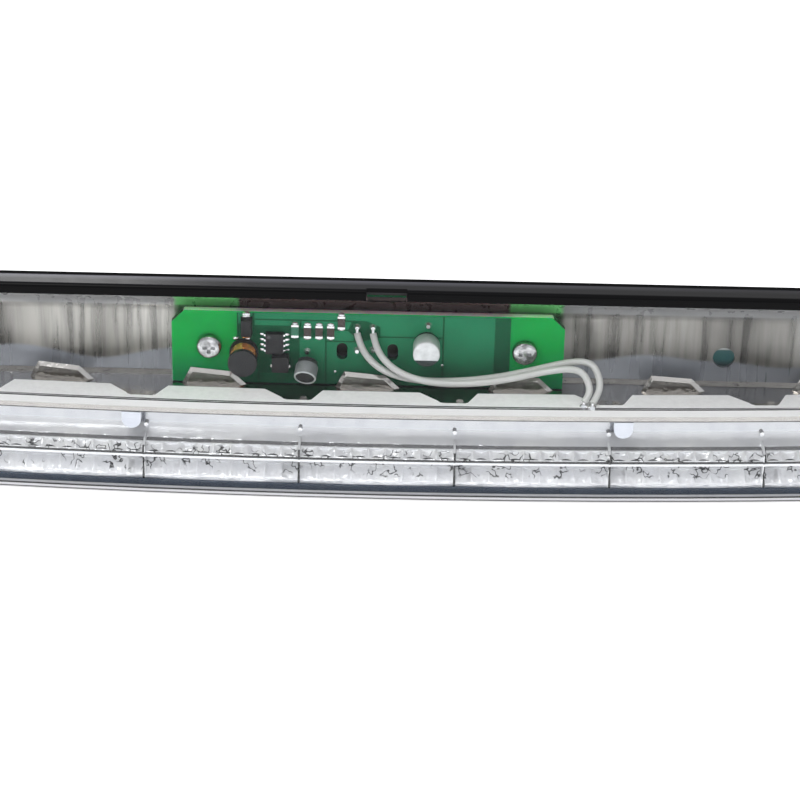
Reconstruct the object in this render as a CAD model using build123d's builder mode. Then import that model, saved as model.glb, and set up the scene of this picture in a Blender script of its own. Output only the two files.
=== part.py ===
from build123d import *
import math
import os

os.makedirs("parts", exist_ok=True)

# Daytime running light bar. X runs along the lamp, -Y is the front, +Z is up.
# The origin is at the middle of the base.

# Overall sizes
length = 275.0          # over the lens ends
depth = 32.5            # lens front to the mounting bosses
back_set = 26.5         # lens front to the housing's back wall
bow_radius = 1400.0     # plan radius of the bowed front
front_y = -depth / 2
rear_y = depth / 2
back_y = front_y + back_set
half = length / 2

# Clear lens
lens_wall = 2.2
lens_bend_z = 23.3      # the upright face ends here and the window leans back
lens_top_z = 46.2
lens_lean = 8.3         # set-back of the window's top edge
lens_edge = 1.8         # thickness of that edge in the rim groove
end_radius = 6.0
corner_share = 0.8      # most of an end wall that its rounding may take
skirt_fit = 0.4         # between the skirt and the housing floor
lug_width = 8.4
lug_x = 1.5
lug_fit = 0.2
lug_drop = 0.4          # below the rim lip
lug_set = 0.5           # behind the rim lip's face

# Rim, seal and housing
seal_t = 0.6
rim_lip = 1.3
rim_skin = 1.0
rim_height = 2.4
rim_rib = 1.2
rim_round = 0.9
bead_rise = 0.4         # bead along the rim's rear edge
bead_width = 0.6
edge_fit = 0.3
shoulder_drop = 1.2
housing_wall = 2.0
floor_t = 2.0
back_top_z = 40.1
back_round = 3.0

lean_rate = lens_lean / (lens_top_z - lens_bend_z)
lens_rear = front_y + lens_lean + lens_edge
flange_y = lens_rear + seal_t
groove_z = lens_top_z + seal_t
rim_top = groove_z + rim_skin
rim_bottom = rim_top - rim_height
lip_back = front_y + lean_rate * (rim_bottom - lens_bend_z) - edge_fit
lip_front = lip_back - rim_lip
rim_back = flange_y + rim_rib
shoulder_z = rim_top - shoulder_drop

# Cells of the reflector bank, set out along the bowed front
cell_count = 7
cell_pitch = 34.4
divider_t = 0.5
flute_count = 9
flute_depth = 0.6
flute_land = 0.3        # between two flutes
flute_end = 0.5         # plain edge in front of and behind each flute

# Heights and set-backs of the bank's section
bank_set = 3.2          # lip behind the lens front
lip_height = 0.8
row_rise = 2.4
row_depth = 4.0
rib_set = 3.4
rib_z = 7.3
rib_t = 1.0
upper_rise = 1.65
upper_depth = 3.0
ledge = 1.0
bowl_set = 11.0         # rear of the smooth upper bowl
bowl_top_z = 16.4
bowl_sag = 0.8
divider_rise = 1.6
bank_wall = 1.4
deck_z = 18.4
deck_t = 1.5
deck_top = deck_z + deck_t

# LED board on the deck
led_board_t = 1.6
led_board_set = 3.1     # front edge behind the lens front
strip_depth = 1.7
lobe_set = 10.1         # rear edge of each lobe
lobe_left = 1.7
lobe_left_back = 4.9
lobe_right_back = 8.0
lobe_right = 2.4
lobe_step = 1.6
led_size = 5.0
led_height = 1.4
led_set = 7.2
led_fit = 0.5
stake_r = 0.8
stake_set = 5.9
stake_shift = 0.8
stake_height = 1.9
peg_r = 0.5             # pegs on the bowl above each divider
peg_set = 10.6          # root, inside the bowl's wall
peg_z = 12.6
peg_length = 2.2
hanger_x = 54.2         # round-ended hangers below the deck's front
hanger_width = 4.2
hanger_height = 4.2
hanger_t = 1.2
hanger_set = 0.3        # behind that edge
hanger_root = 0.5       # inside the deck

# Metallised back wall
wall_set = 20.5         # wall face behind the lens front
wall_t = 1.6
wall_y = front_y + wall_set
wall_gap = 0.3          # wall to housing ends and rim
deck_fit = 0.1          # deck to wall
foot_rise = 0.8         # sloping foot along the wall
foot_depth = 1.0
cove_z = 38.2
cove_top_z = 43.6
cove_round = 5.0
wall_foot_z = 12.0
vent_hole_r = 2.45
vent_hole_x = 76.8
vent_hole_z = 26.5
plug_fit = 0.05         # rubber plug in that hole
plug_sink = 0.8
plug_flange = 0.8
plug_flange_t = 0.8
tab_width = 15.6
tab_left = 2.4
tab_right = 4.0
tab_height = 3.9
tab_fall = 0.8
tab_t = 0.6
tab_bevel = 55          # degrees
tab_shift = 14.9        # tab middle from the left side of its cell
tab_set = 15.0          # tab's back behind the lens front

# Driver board
pcb_length = 86.6
pcb_height = 17.5
pcb_t = 1.6
pcb_x = -2.5
pcb_gap = 0.3           # above the deck
pcb_corner = 2.9
pcb_boss_h = 3.0
pcb_boss_r = 3.2
pcb_screw_span = 69.7
pcb_screw_x = -2.7
pcb_screw_z = 29.3
slot_length = 4.0
slot_width = 2.4
slot_span = 11.2
slot_x = -2.6
slot_z = 28.4
pcb_bottom = deck_top + pcb_gap
pcb_back = wall_y - pcb_boss_h
pcb_face = pcb_back - pcb_t

# Screws
screw_r = 1.5
screw_fit = 0.05
screw_head_r = 2.8
screw_head_h = 1.8
screw_length = 5.0
recess_width = 0.8
recess_depth = 0.9
post_r = 3.5
post_x = 127.0
post_z = 28.0

# Mounting bosses, socket and vent on the back
mount_span = 180.0
mount_z = 24.0
boss_r = 6.5
insert_r = 3.2
insert_bore = 2.1
insert_length = 6.5
rib_height = 2.5
back_rib_t = 1.6
back_rib_gap = 26.0
socket_x = 62.0
socket_z = 27.0
socket_width = 17.0
socket_height = 11.0
socket_wall = 1.4
socket_round = 2.0
pin_span = 7.0
pin_width = 2.4
pin_t = 0.8
pin_tail = 1.2          # inside the housing
pin_reach = 4.6         # into the socket
vent_x = -62.0
vent_z = 27.0
vent_r = 3.5
vent_bore = 1.2
vent_height = 3.0
vent_cap_wall = 1.2
vent_cap_fit = 0.1
vent_slot = 1.5

# Parts on the driver board, each placed by (x, z) on its face
inductor_at = (-29.9, 27.8)
inductor_r = 3.2
inductor_h = 6.2
inductor_flange = 1.1
inductor_waist = 1.9
winding_r = 2.9
winding_fit = 0.05
chip_at = (-23.1, 30.4)
chip_width = 3.9
chip_length = 4.9
chip_h = 1.5
chip_lead_pitch = 1.27
chip_lead_rows = 4
chip_lead_reach = 1.05
chip_lead_w = 0.45
chip_lead_t = 0.25
chip_lead_exit = 0.6    # height where it leaves the body
chip_lead_bend = 0.35   # run before it turns down
chip_lead_slant = 0.15
diode_at = (-29.3, 34.3)
diode_width = 2.6
diode_length = 4.2
diode_h = 2.1
diode_foot = 0.6
diode_foot_w = 1.5
diode_foot_t = 0.9
choke_at = (-21.8, 25.8)
choke_size = 3.7
choke_h = 2.6
choke_round = 0.5
small_can_at = (-15.7, 26.2)
small_can_r = 2.5
small_can_length = 4.4
small_can_droop = 30    # degrees, as its wires are bent
small_can_swing = 8     # degrees to the left
can_wire_r = 0.3
can_wire_span = 2.0
large_can_at = (10.4, 31.0)
large_can_r = 2.95
large_can_length = 6.2
can_bung = 0.6
can_groove = 0.25
can_edge = 0.4
chip_part_width = 1.6
chip_part_length = 3.1
resistor_h = 0.6
resistor_z = 33.2
resistor_x = -13.3
resistor_pitch = 2.55
bias_resistor_at = (-8.4, 35.6)
ceramic_at = (-18.6, 33.6)
ceramic_h = 1.2
solder_r = 0.9
solder_top_r = 0.45
solder_h = 0.8
solder_spots = [(-4.9, 28.7), (-1.4, 28.9), (-15.9, 28.2), (10.7, 35.2)]

# White leads from the driver board to the LED board: (x, behind the front, z)
lead_r = 0.75
lead_pad_z = 34.4
lead_route_a = [
    (-4.9, 14.8, 33.5), (-4.2, 13.9, 30.9), (-2.2, 13.0, 28.0), (0.9, 12.5, 25.5),
    (5.3, 12.3, 23.9), (11.0, 12.4, 23.2), (18.0, 12.6, 23.3), (25.5, 12.6, 24.3),
    (33.0, 12.4, 26.2), (39.4, 11.9, 28.4), (44.0, 11.3, 29.6), (46.8, 10.5, 29.4),
    (48.2, 9.3, 27.4), (48.6, 7.9, 25.3), (48.0, 6.3, 23.7), (46.9, 4.8, 22.6),
]
lead_route_b = [
    (-1.4, 14.8, 33.5), (-0.8, 13.7, 31.0), (1.0, 12.3, 28.3), (4.1, 11.0, 26.1),
    (8.6, 10.3, 24.5), (14.5, 10.2, 23.7), (21.5, 10.4, 23.9), (29.0, 10.4, 25.2),
    (36.0, 10.1, 27.3), (41.6, 9.5, 28.6), (44.5, 8.7, 28.3), (45.8, 7.8, 26.6),
    (46.3, 6.9, 24.9), (45.9, 6.0, 23.5), (45.0, 5.2, 22.6),
]

# Supply leads behind the reflector, from the socket pins to the driver board
supply_r = 0.7
supply_turn = 1.1
supply_x = 24.0
supply_hole_r = 1.3
supply_drop = 3.4       # between the two leads


def at(x, back, z=0.0):
    """Point `back` behind the bowed front, x along it, at height z."""
    turn = x / bow_radius
    reach = bow_radius - back
    return (reach * math.sin(turn), front_y + bow_radius - reach * math.cos(turn), z)


def bow_plane(x):
    """Section plane across the bowed front: local x to the back, local y up."""
    turn = x / bow_radius
    inward = (-math.sin(turn), math.cos(turn), 0)
    along = (math.cos(turn), math.sin(turn), 0)
    return Plane(origin=at(x, 0), x_dir=inward, z_dir=along)


def face_plane(y):
    """Upright plane at y that faces the front."""
    return Plane.XZ.offset(-y)


def bowed_plan(inset, rear, corner):
    """Plan of the lamp inside the bowed front, cut off at the rear."""
    side = half - inset
    arc = bow_radius - inset
    end_y = front_y + bow_radius - math.sqrt(arc**2 - side**2)
    with BuildLine() as edge:
        ThreePointArc((-side, end_y), (0, front_y + inset), (side, end_y))
        Polyline((side, end_y), (side, rear), (-side, rear), (-side, end_y))
    outline = make_face(edge.edges())
    fillet(outline.vertices().group_by(Axis.Y)[0], min(corner, corner_share * (rear - end_y)))


def straight_plan(inset, front, rear, corner):
    """Plan at the straight top edge of the window."""
    side = half - inset
    with BuildLine() as edge:
        Polyline((-side, front), (side, front), (side, rear), (-side, rear), close=True)
    outline = make_face(edge.edges())
    fillet(outline.vertices().group_by(Axis.Y)[0], corner)


def save(builder, name):
    """Label a finished piece and write its STEP file."""
    builder.part.label = name
    export_step(builder.part, f"parts/{name}.step")


# Rear housing: a tub with a rim bead and a groove that takes the lens edge
with BuildPart() as rear_housing:
    with BuildSketch(Plane.YZ):
        with BuildLine():
            Polyline(
                (flange_y, 0),
                (back_y, 0),
                (back_y, back_top_z),
                (rim_back, shoulder_z),
                (rim_back, rim_top + bead_rise),
                (rim_back - bead_width, rim_top),
                (lip_front, rim_top),
                (lip_front, rim_bottom),
                (lip_back, rim_bottom),
                (lip_back, groove_z),
                (flange_y, groove_z),
                close=True,
            )
        rim = make_face()
        fillet(rim.vertices().group_by(Axis.Y)[-2].sort_by(Axis.X)[0], rim_round)
    extrude(amount=half, both=True)
    back_corners = rear_housing.edges().filter_by(Axis.Z).group_by(Axis.Y)[-1]
    fillet(back_corners, back_round)
    with BuildSketch(Plane.YZ):
        with BuildLine():
            Polyline(
                (flange_y - housing_wall, floor_t),
                (back_y - housing_wall, floor_t),
                (back_y - housing_wall, back_top_z - housing_wall),
                (rim_back, shoulder_z - housing_wall),
                (flange_y - housing_wall, shoulder_z - housing_wall),
                close=True,
            )
        make_face()
    extrude(amount=half - housing_wall, both=True, mode=Mode.SUBTRACT)
    with BuildSketch(Plane.XY):
        bowed_plan(lens_wall + skirt_fit, flange_y + housing_wall, end_radius - lens_wall)
    extrude(amount=floor_t)
    # notch in the rim lip for the lug of the lens
    with BuildSketch(face_plane(lip_back)):
        with Locations((lug_x, rim_bottom + rim_height / 2)):
            Rectangle(lug_width + 2 * lug_fit, rim_height)
    extrude(amount=rim_lip, mode=Mode.SUBTRACT)
    # posts for the reflector
    with BuildSketch(face_plane(back_y - housing_wall)):
        with Locations((-post_x, post_z), (post_x, post_z)):
            Circle(post_r)
    extrude(amount=back_y - housing_wall - wall_y - wall_t)
    with BuildSketch(face_plane(wall_y)):
        with Locations((-post_x, post_z), (post_x, post_z)):
            Circle(screw_r + screw_fit)
    extrude(amount=-screw_length, mode=Mode.SUBTRACT)
    # mounting bosses, ribs, socket shroud and vent tube on the back
    with BuildSketch(face_plane(back_y)):
        with Locations((-mount_span / 2, mount_z), (mount_span / 2, mount_z)):
            Circle(boss_r)
    extrude(amount=-(rear_y - back_y))
    with BuildSketch(face_plane(back_y)):
        with Locations((0, mount_z)):
            with GridLocations(0, back_rib_gap, 1, 2):
                Rectangle(mount_span + 2 * boss_r, back_rib_t)
        with Locations((-mount_span / 2, mount_z), (mount_span / 2, mount_z)):
            Rectangle(back_rib_t, back_rib_gap)
    extrude(amount=-rib_height)
    with BuildSketch(face_plane(back_y)):
        with Locations((socket_x, socket_z)):
            RectangleRounded(socket_width, socket_height, socket_round)
            RectangleRounded(
                socket_width - 2 * socket_wall,
                socket_height - 2 * socket_wall,
                socket_round - socket_wall / 2,
                mode=Mode.SUBTRACT,
            )
    extrude(amount=-(rear_y - back_y))
    with BuildSketch(face_plane(back_y)):
        with Locations((vent_x, vent_z)):
            Circle(vent_r)
    extrude(amount=-vent_height)
    with BuildSketch(face_plane(back_y + vent_height)):
        with Locations((vent_x, vent_z)):
            Circle(vent_bore)
    extrude(amount=vent_height + housing_wall, mode=Mode.SUBTRACT)
    with BuildSketch(face_plane(rear_y)):
        with Locations((-mount_span / 2, mount_z), (mount_span / 2, mount_z)):
            Circle(insert_r)
    extrude(amount=insert_length, mode=Mode.SUBTRACT)
    with BuildSketch(face_plane(back_y)):
        with Locations((socket_x, socket_z)):
            with GridLocations(pin_span, 0, 2, 1):
                Rectangle(pin_t, pin_width)
    extrude(amount=housing_wall, mode=Mode.SUBTRACT)
save(rear_housing, "rear_housing")

# Outer lens: upright bowed face, window leaning back to a straight edge
lens_wall_level = lens_wall * math.hypot(1, lean_rate)
with BuildPart() as outer_lens:
    with BuildSketch(Plane.XY):
        bowed_plan(0, lens_rear, end_radius)
    extrude(amount=lens_bend_z)
    with BuildSketch(Plane.XY.offset(lens_bend_z)):
        bowed_plan(0, lens_rear, end_radius)
    with BuildSketch(Plane.XY.offset(lens_top_z)):
        straight_plan(0, front_y + lens_lean, lens_rear, lens_edge / 2)
    loft()
    with BuildSketch(Plane.XY):
        bowed_plan(lens_wall, lens_rear + lens_wall, end_radius - lens_wall)
    extrude(amount=lens_bend_z, mode=Mode.SUBTRACT)
    with BuildSketch(Plane.XY.offset(lens_bend_z)):
        bowed_plan(lens_wall, lens_rear + lens_wall, end_radius - lens_wall)
    with BuildSketch(Plane.XY.offset(lens_top_z)):
        straight_plan(
            lens_wall, front_y + lens_lean + lens_wall_level, lens_rear + lens_wall, lens_edge / 4
        )
    loft(mode=Mode.SUBTRACT)
    # lug at the top that clicks into the notch of the rim
    lug_height = lens_top_z - rim_bottom + lug_drop
    with BuildSketch(face_plane(lens_rear)):
        with Locations((lug_x, lens_top_z - lug_height / 2)):
            Rectangle(lug_width, lug_height)
    extrude(amount=lens_rear - lip_front - lug_set)
save(outer_lens, "outer_lens")

# Seal round the top and the ends of the lens
with BuildPart() as lens_seal:
    with BuildSketch(face_plane(flange_y)):
        with Locations((0, groove_z / 2)):
            Rectangle(length, groove_z)
        with Locations((0, rim_bottom / 2)):
            Rectangle(length - 2 * lens_wall, rim_bottom, mode=Mode.SUBTRACT)
    extrude(amount=seal_t)
    with BuildSketch(Plane.XY.offset(lens_top_z)):
        with Locations((0, (lip_back + flange_y) / 2)):
            Rectangle(length, flange_y - lip_back)
    extrude(amount=seal_t)
save(lens_seal, "lens_seal")

# Back reflector: metallised wall with a cove under the rim
wall_half = half - housing_wall - wall_gap
with BuildPart() as back_reflector:
    with BuildSketch(Plane.YZ):
        with BuildLine():
            Polyline(
                (wall_y, wall_foot_z),
                (wall_y, cove_z),
                (flange_y + wall_gap, cove_top_z),
                (flange_y + wall_gap, cove_top_z + wall_t / 2),
                (wall_y + wall_t, cove_z + wall_t / 2),
                (wall_y + wall_t, wall_foot_z),
                close=True,
            )
        section = make_face()
        fillet(section.vertices().sort_by(Axis.Y)[2:4], cove_round)
    extrude(amount=wall_half, both=True)
    with BuildSketch(face_plane(wall_y)):
        with Locations((pcb_screw_x, pcb_screw_z)):
            with GridLocations(pcb_screw_span, 0, 2, 1):
                Circle(pcb_boss_r)
    extrude(amount=pcb_boss_h)
    with BuildSketch(face_plane(pcb_back)):
        with Locations((pcb_screw_x, pcb_screw_z)):
            with GridLocations(pcb_screw_span, 0, 2, 1):
                Circle(screw_r + screw_fit)
        with Locations((vent_hole_x, vent_hole_z)):
            Circle(vent_hole_r)
        with Locations((-post_x, post_z), (post_x, post_z)):
            Circle(screw_r + screw_fit)
        with Locations((supply_x, socket_z), (supply_x, socket_z - supply_drop)):
            Circle(supply_hole_r)
    extrude(amount=-(pcb_boss_h + wall_t), mode=Mode.SUBTRACT)
save(back_reflector, "back_reflector")

# Plug in the round hole of the wall
with BuildPart() as hole_plug:
    with BuildSketch(face_plane(wall_y + wall_t)):
        with Locations((vent_hole_x, vent_hole_z)):
            Circle(vent_hole_r - plug_fit)
    extrude(amount=wall_t - plug_sink)
    with BuildSketch(face_plane(wall_y + wall_t)):
        with Locations((vent_hole_x, vent_hole_z)):
            Circle(vent_hole_r + plug_flange)
    extrude(amount=-plug_flange_t)
save(hole_plug, "hole_plug")

# Reflector bank: two fluted rows below a smooth bowl, with the LED deck on top
bank_half = cell_count * cell_pitch / 2
cell_middles = [(i + 0.5) * cell_pitch - bank_half for i in range(cell_count)]
cell_sides = [i * cell_pitch - bank_half for i in range(cell_count + 1)]
lip_z = floor_t + lip_height
row_back = bank_set + row_depth
row_back_z = lip_z + row_rise
upper_z = rib_z + rib_t
upper_back = rib_set + upper_depth
upper_back_z = upper_z + upper_rise
ledge_back = upper_back + ledge
flute_pitch = (cell_pitch - divider_t) / flute_count
flute_width = flute_pitch - flute_land
flute_radius = (flute_width**2 / 4 + flute_depth**2) / (2 * flute_depth)


def row_plane(x, set_back, z, run, rise):
    """Plane across the middle of a sloping row: local x along the lamp, local y into it."""
    turn = x / bow_radius
    slope = math.atan2(rise, run)
    along = (math.cos(turn), math.sin(turn), 0)
    up_row = (-math.sin(turn) * math.cos(slope), math.cos(turn) * math.cos(slope), math.sin(slope))
    return Plane(origin=at(x, set_back + run / 2, z + rise / 2), x_dir=along, z_dir=up_row)


def flutes(plane):
    """Scalloped section of one cell's flutes."""
    with BuildSketch(plane) as scallops:
        with Locations((0, flute_depth - flute_radius)):
            with GridLocations(flute_pitch, 0, flute_count, 1):
                Circle(flute_radius)
        Rectangle(cell_pitch - divider_t, 2 * flute_depth, mode=Mode.INTERSECT)
    return scallops.sketch


with BuildPart() as reflector_bank:
    with BuildSketch(bow_plane(-bank_half)):
        with BuildLine():
            Polyline(
                (ledge_back, upper_back_z),
                (upper_back, upper_back_z),
                (rib_set, upper_z),
                (rib_set, rib_z),
                (row_back, rib_z),
                (row_back, row_back_z),
                (bank_set, lip_z),
                (bank_set, floor_t),
                (bank_set + bank_wall, floor_t),
                (row_back + bank_wall, row_back_z - bank_wall / 2),
                (row_back + bank_wall, rib_z),
                (ledge_back + bank_wall, upper_back_z - bank_wall),
            )
            SagittaArc(
                (ledge_back + bank_wall, upper_back_z - bank_wall),
                (bowl_set + bank_wall, bowl_top_z),
                -bowl_sag,
            )
            Polyline(
                (bowl_set + bank_wall, bowl_top_z),
                (bowl_set + bank_wall, deck_z),
                (wall_set, deck_z),
                (wall_set, deck_top),
                (rib_set, deck_top),
                (rib_set, deck_z),
                (bowl_set, deck_z),
                (bowl_set, bowl_top_z),
            )
            SagittaArc((bowl_set, bowl_top_z), (ledge_back, upper_back_z), bowl_sag)
        make_face()
    revolve(
        axis=Axis((0, front_y + bow_radius, 0), (0, 0, 1)),
        revolution_arc=math.degrees(2 * bank_half / bow_radius),
    )
    # straight rear edge of the deck, along the wall
    with BuildSketch(Plane.XY.offset(deck_z)):
        with Locations((0, wall_y - deck_fit + depth / 2)):
            Rectangle(length, depth)
    extrude(amount=deck_t, mode=Mode.SUBTRACT)
    # sloping foot on that edge
    with BuildSketch(Plane.YZ):
        with BuildLine():
            Polyline(
                (wall_y - deck_fit, deck_top),
                (wall_y - deck_fit, deck_top + foot_rise),
                (wall_y - deck_fit - foot_depth, deck_top),
                close=True,
            )
        make_face()
    extrude(amount=bank_half - divider_t, both=True)
    lower_run = math.hypot(row_depth, row_rise) / 2 - flute_end
    upper_run = math.hypot(upper_depth, upper_rise) / 2 - flute_end
    for x in cell_middles:
        lower = flutes(row_plane(x, bank_set, lip_z, row_depth, row_rise))
        extrude(lower, amount=lower_run, both=True, mode=Mode.SUBTRACT)
        upper = flutes(row_plane(x, rib_set, upper_z, upper_depth, upper_rise))
        extrude(upper, amount=upper_run, both=True, mode=Mode.SUBTRACT)
    # dividers between the cells
    for x in cell_sides:
        with BuildSketch(bow_plane(x)):
            with BuildLine():
                Polyline(
                    (bank_set, floor_t),
                    (bank_set, rib_z),
                    (rib_set, upper_z + divider_rise),
                    (ledge_back, upper_back_z + divider_rise),
                    (ledge_back + bank_wall / 2, upper_back_z - bank_wall / 2),
                    (row_back + bank_wall / 2, row_back_z - bank_wall / 2),
                    close=True,
                )
            make_face()
        extrude(amount=divider_t / 2, both=True)
    # windows for the LEDs, and stakes that hold their board
    with BuildSketch(Plane.XY.offset(deck_z)):
        with Locations([at(x, led_set) for x in cell_middles]):
            Rectangle(led_size + 2 * led_fit, led_size + 2 * led_fit)
    extrude(amount=deck_t, mode=Mode.SUBTRACT)
    with BuildSketch(Plane.XY.offset(deck_top)):
        with Locations([at(x + stake_shift, stake_set) for x in cell_sides[1:-1]]):
            Circle(stake_r)
    extrude(amount=stake_height)
    # pegs on the bowl above the dividers, and hangers below the deck's front edge
    for x in cell_sides[1:-1]:
        with BuildSketch(row_plane(x, peg_set, peg_z, 0, 0)):
            Circle(peg_r)
        extrude(amount=-peg_length)
    for x in (-hanger_x, hanger_x):
        with BuildSketch(row_plane(x, rib_set + hanger_set, deck_z, 0, 0)):
            with Locations((0, hanger_height - hanger_width / 2)):
                Circle(hanger_width / 2)
            with Locations((0, (hanger_height - hanger_width / 2 - hanger_root) / 2)):
                Rectangle(hanger_width, hanger_height - hanger_width / 2 + hanger_root)
        extrude(amount=hanger_t)
    # upright tabs at the foot of the driver board
    tab_foot = deck_top - tab_t * math.tan(math.radians(tab_bevel))
    for x in cell_sides[:-1]:
        with BuildSketch(row_plane(x + tab_shift, tab_set, tab_foot, 0, 0)):
            with BuildLine():
                Polyline(
                    (-tab_width / 2, 0),
                    (tab_width / 2, 0),
                    (tab_width / 2 - tab_right, tab_foot - deck_top - tab_height + tab_fall),
                    (-tab_width / 2 + tab_left, tab_foot - deck_top - tab_height),
                    close=True,
                )
            make_face()
        extrude(amount=-tab_t, taper=tab_bevel)
save(reflector_bank, "reflector_bank")

# LED board: a bowed strip with one lobe for each cell
with BuildPart() as led_board:
    board_half = bank_half - lobe_left
    strip_back = led_board_set + strip_depth
    with BuildSketch(Plane.XY.offset(deck_top)):
        with BuildLine():
            ThreePointArc(*[at(x, led_board_set) for x in (-board_half, 0, board_half)])
            Line(at(board_half, led_board_set), at(board_half, strip_back))
            ThreePointArc(*[at(x, strip_back) for x in (board_half, 0, -board_half)])
            Line(at(-board_half, strip_back), at(-board_half, led_board_set))
        make_face()
        for left, right in zip(cell_sides, cell_sides[1:]):
            with BuildLine():
                Polyline(
                    at(left + lobe_left, led_board_set + strip_depth / 2),
                    at(left + lobe_left_back, lobe_set),
                    at(right - lobe_right_back, lobe_set),
                    at(right - lobe_right - lobe_step, strip_back + lobe_step),
                    at(right - lobe_right, led_board_set + strip_depth / 2),
                    close=True,
                )
            make_face()
    extrude(amount=led_board_t)
save(led_board, "led_board")

# LEDs below the board, in the windows of the deck
with BuildPart() as leds:
    with BuildSketch(Plane.XY.offset(deck_top)):
        with Locations([at(x, led_set) for x in cell_middles]):
            Rectangle(led_size, led_size)
    extrude(amount=-led_height)
save(leds, "leds")

# Driver board, with clipped upper corners, screw holes and two slots
with BuildPart() as driver_board:
    with BuildSketch(face_plane(pcb_back)):
        with Locations((pcb_x, pcb_bottom + pcb_height / 2)):
            outline = Rectangle(pcb_length, pcb_height)
        chamfer(outline.vertices().group_by(Axis.Y)[-1], pcb_corner)
        with Locations((pcb_screw_x, pcb_screw_z)):
            with GridLocations(pcb_screw_span, 0, 2, 1):
                Circle(screw_r + screw_fit, mode=Mode.SUBTRACT)
        with Locations((slot_x, slot_z)):
            with GridLocations(slot_span, 0, 2, 1):
                SlotOverall(slot_length, slot_width, rotation=90, mode=Mode.SUBTRACT)
    extrude(amount=pcb_t)
save(driver_board, "driver_board")


def pan_screws(seat_y, places):
    """Pan head screws with a cross recess, driven in from the front."""
    with BuildPart() as screws:
        with BuildSketch(face_plane(seat_y)):
            with Locations(places):
                Circle(screw_head_r)
        extrude(amount=screw_head_h)
        fillet(screws.edges().group_by(Axis.Y)[0], screw_head_h / 2)
        with BuildSketch(face_plane(seat_y)):
            with Locations(places):
                Circle(screw_r)
        extrude(amount=-(screw_length - screw_fit))
        with BuildSketch(face_plane(seat_y - screw_head_h)):
            with Locations(places):
                Rectangle(screw_head_r, recess_width)
                Rectangle(recess_width, screw_head_r)
        extrude(amount=-recess_depth, mode=Mode.SUBTRACT)
    return screws


pcb_places = [(pcb_screw_x + side * pcb_screw_span / 2, pcb_screw_z) for side in (-1, 1)]
post_places = [(side * post_x, post_z) for side in (-1, 1)]
save(pan_screws(pcb_face, pcb_places), "board_screws")
save(pan_screws(wall_y, post_places), "reflector_screws")

# Drum inductor: ferrite core and its copper winding
waist_h = inductor_h - 2 * inductor_flange
with BuildPart() as inductor_core:
    with BuildSketch(face_plane(pcb_face)):
        with Locations(inductor_at):
            Circle(inductor_r)
    extrude(amount=inductor_flange)
    with BuildSketch(face_plane(pcb_face - inductor_flange)):
        with Locations(inductor_at):
            Circle(inductor_waist)
    extrude(amount=waist_h)
    with BuildSketch(face_plane(pcb_face - inductor_flange - waist_h)):
        with Locations(inductor_at):
            Circle(inductor_r)
    extrude(amount=inductor_flange)
save(inductor_core, "inductor_core")

with BuildPart() as inductor_winding:
    with BuildSketch(face_plane(pcb_face - inductor_flange)):
        with Locations(inductor_at):
            Circle(winding_r)
            Circle(inductor_waist + winding_fit, mode=Mode.SUBTRACT)
    extrude(amount=waist_h)
save(inductor_winding, "inductor_winding")

# Driver chip and its eight leads
with BuildPart() as driver_chip:
    with BuildSketch(face_plane(pcb_face)):
        with Locations(chip_at):
            Rectangle(chip_width, chip_length)
    extrude(amount=chip_h)
save(driver_chip, "driver_chip")

with BuildPart() as chip_leads:
    for side in (-1, 1):
        for row in range(chip_lead_rows):
            z = chip_at[1] + (row - (chip_lead_rows - 1) / 2) * chip_lead_pitch
            root = (chip_at[0] + side * chip_width / 2, pcb_face, z)
            with BuildSketch(Plane(origin=root, x_dir=(side, 0, 0), z_dir=(0, 0, -side))):
                with BuildLine():
                    Polyline(
                        (0, chip_lead_exit),
                        (0, chip_lead_exit + chip_lead_t),
                        (chip_lead_bend, chip_lead_exit + chip_lead_t),
                        (chip_lead_bend + chip_lead_slant, chip_lead_t),
                        (chip_lead_reach, chip_lead_t),
                        (chip_lead_reach, 0),
                        (chip_lead_bend, 0),
                        (chip_lead_bend - chip_lead_slant, chip_lead_exit),
                        close=True,
                    )
                make_face()
            extrude(amount=chip_lead_w / 2, both=True)
save(chip_leads, "chip_leads")

# Rectifier diode and its two end feet
with BuildPart() as rectifier_diode:
    with BuildSketch(face_plane(pcb_face)):
        with Locations(diode_at):
            Rectangle(diode_width, diode_length)
    extrude(amount=diode_h, taper=5)
save(rectifier_diode, "rectifier_diode")

with BuildPart() as diode_feet:
    with BuildSketch(face_plane(pcb_face)):
        with Locations(diode_at):
            with GridLocations(0, diode_length + diode_foot, 1, 2):
                Rectangle(diode_foot_w, diode_foot)
    extrude(amount=diode_foot_t)
save(diode_feet, "diode_feet")

# Square filter choke
with BuildPart() as filter_choke:
    with BuildSketch(face_plane(pcb_face)):
        with Locations(choke_at):
            RectangleRounded(choke_size, choke_size, choke_round)
    extrude(amount=choke_h)
save(filter_choke, "filter_choke")


def can_capacitor(place, radius, tall, droop=0, swing=0):
    """Electrolytic can: rubber bung, crimp groove, rounded end and two wires to the board."""
    tilt = math.radians(droop)
    turn = math.radians(swing)
    axis = Vector(
        -math.cos(tilt) * math.sin(turn), -math.cos(tilt) * math.cos(turn), -math.sin(tilt)
    )
    lift = radius * math.sin(tilt)
    seat = Plane(origin=(place[0], pcb_face - lift, place[1]), x_dir=(0, 0, 1), z_dir=axis)
    with BuildPart() as can:
        with BuildSketch(seat):
            Circle(radius - can_groove)
        extrude(amount=2 * can_bung)
        with BuildSketch(seat.offset(2 * can_bung)):
            Circle(radius)
        extrude(amount=tall - 2 * can_bung)
        front_end = can.faces().sort_by(Axis(seat.origin, axis))[-1]
        chamfer(front_end.edges(), can_edge)
        with BuildSketch(face_plane(pcb_face)):
            with Locations(place):
                with GridLocations(can_wire_span, 0, 2, 1):
                    Circle(can_wire_r)
        extrude(amount=lift + can_bung)
    return can


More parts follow.
